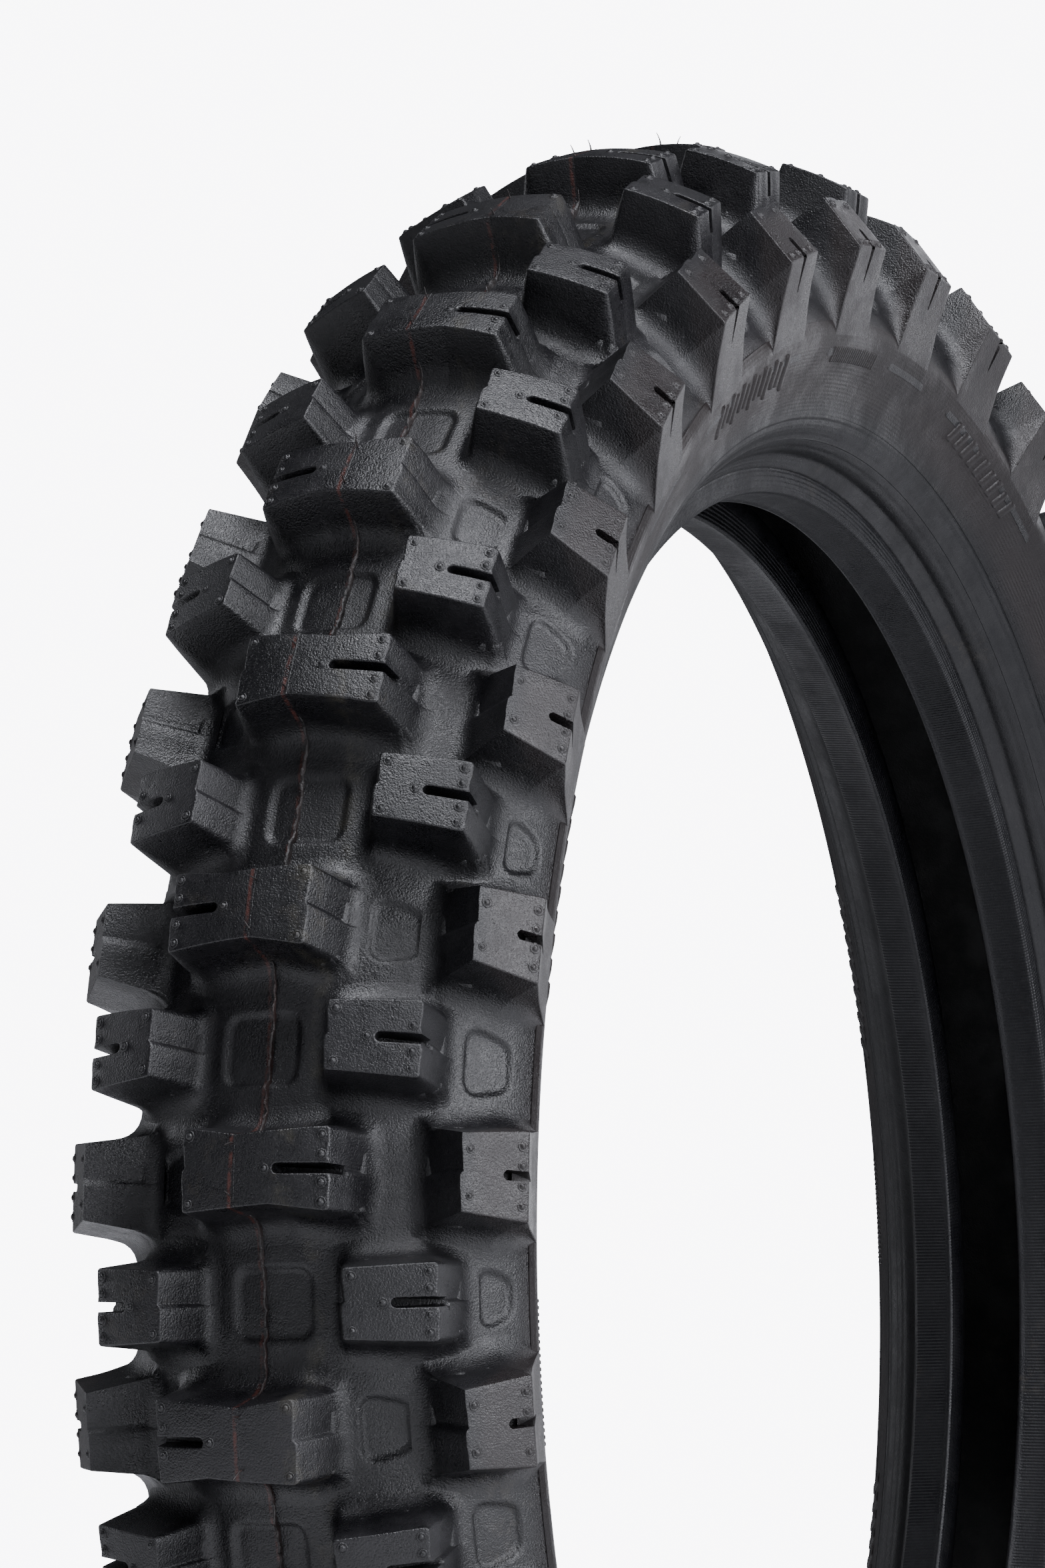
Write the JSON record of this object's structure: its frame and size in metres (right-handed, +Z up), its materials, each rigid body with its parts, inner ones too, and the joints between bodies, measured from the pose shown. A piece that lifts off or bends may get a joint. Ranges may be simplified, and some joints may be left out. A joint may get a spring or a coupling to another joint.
{
  "type": "motorcycle tire",
  "caption": "Knobby off-road rear tire with slotted centre, intermediate and shoulder knobs, textile carcass and wired beads, unmounted.",
  "frame": {"origin": "wheel centre, on the axle line, midway between the beads", "axes": "+Y along the axle to the left side, +Z up, wheel plane XZ"},
  "size_m": [0.699, 0.13, 0.699],
  "materials": {
    "tread_rubber": "matte black moulded rubber",
    "sidewall_rubber": "satin black rubber",
    "cushion_rubber": "satin black rubber",
    "liner_rubber": "smooth black liner",
    "base_rubber": "soft black rubber",
    "filler_rubber": "hard black rubber",
    "ply_cord": "rubbered nylon cord",
    "breaker_cord": "rubbered nylon cord",
    "chafer_fabric": "rubbered square-woven fabric",
    "bead_steel": "bronze-coated wire bundle"
  },
  "bodies": {
    "root": {"tread": "tread_rubber", "tread_base": "base_rubber", "crown_breaker": "breaker_cord", "body_ply_outer": "ply_cord", "body_ply_inner": "ply_cord", "inner_liner": "liner_rubber", "sidewall_left": "sidewall_rubber", "sidewall_right": "sidewall_rubber", "rim_cushion_left": "cushion_rubber", "rim_cushion_right": "cushion_rubber", "chafer_left": "chafer_fabric", "chafer_right": "chafer_fabric", "bead_filler_left": "filler_rubber", "bead_filler_right": "filler_rubber", "bead_core_left": "bead_steel", "bead_core_right": "bead_steel"}
  },
  "joints": []
}
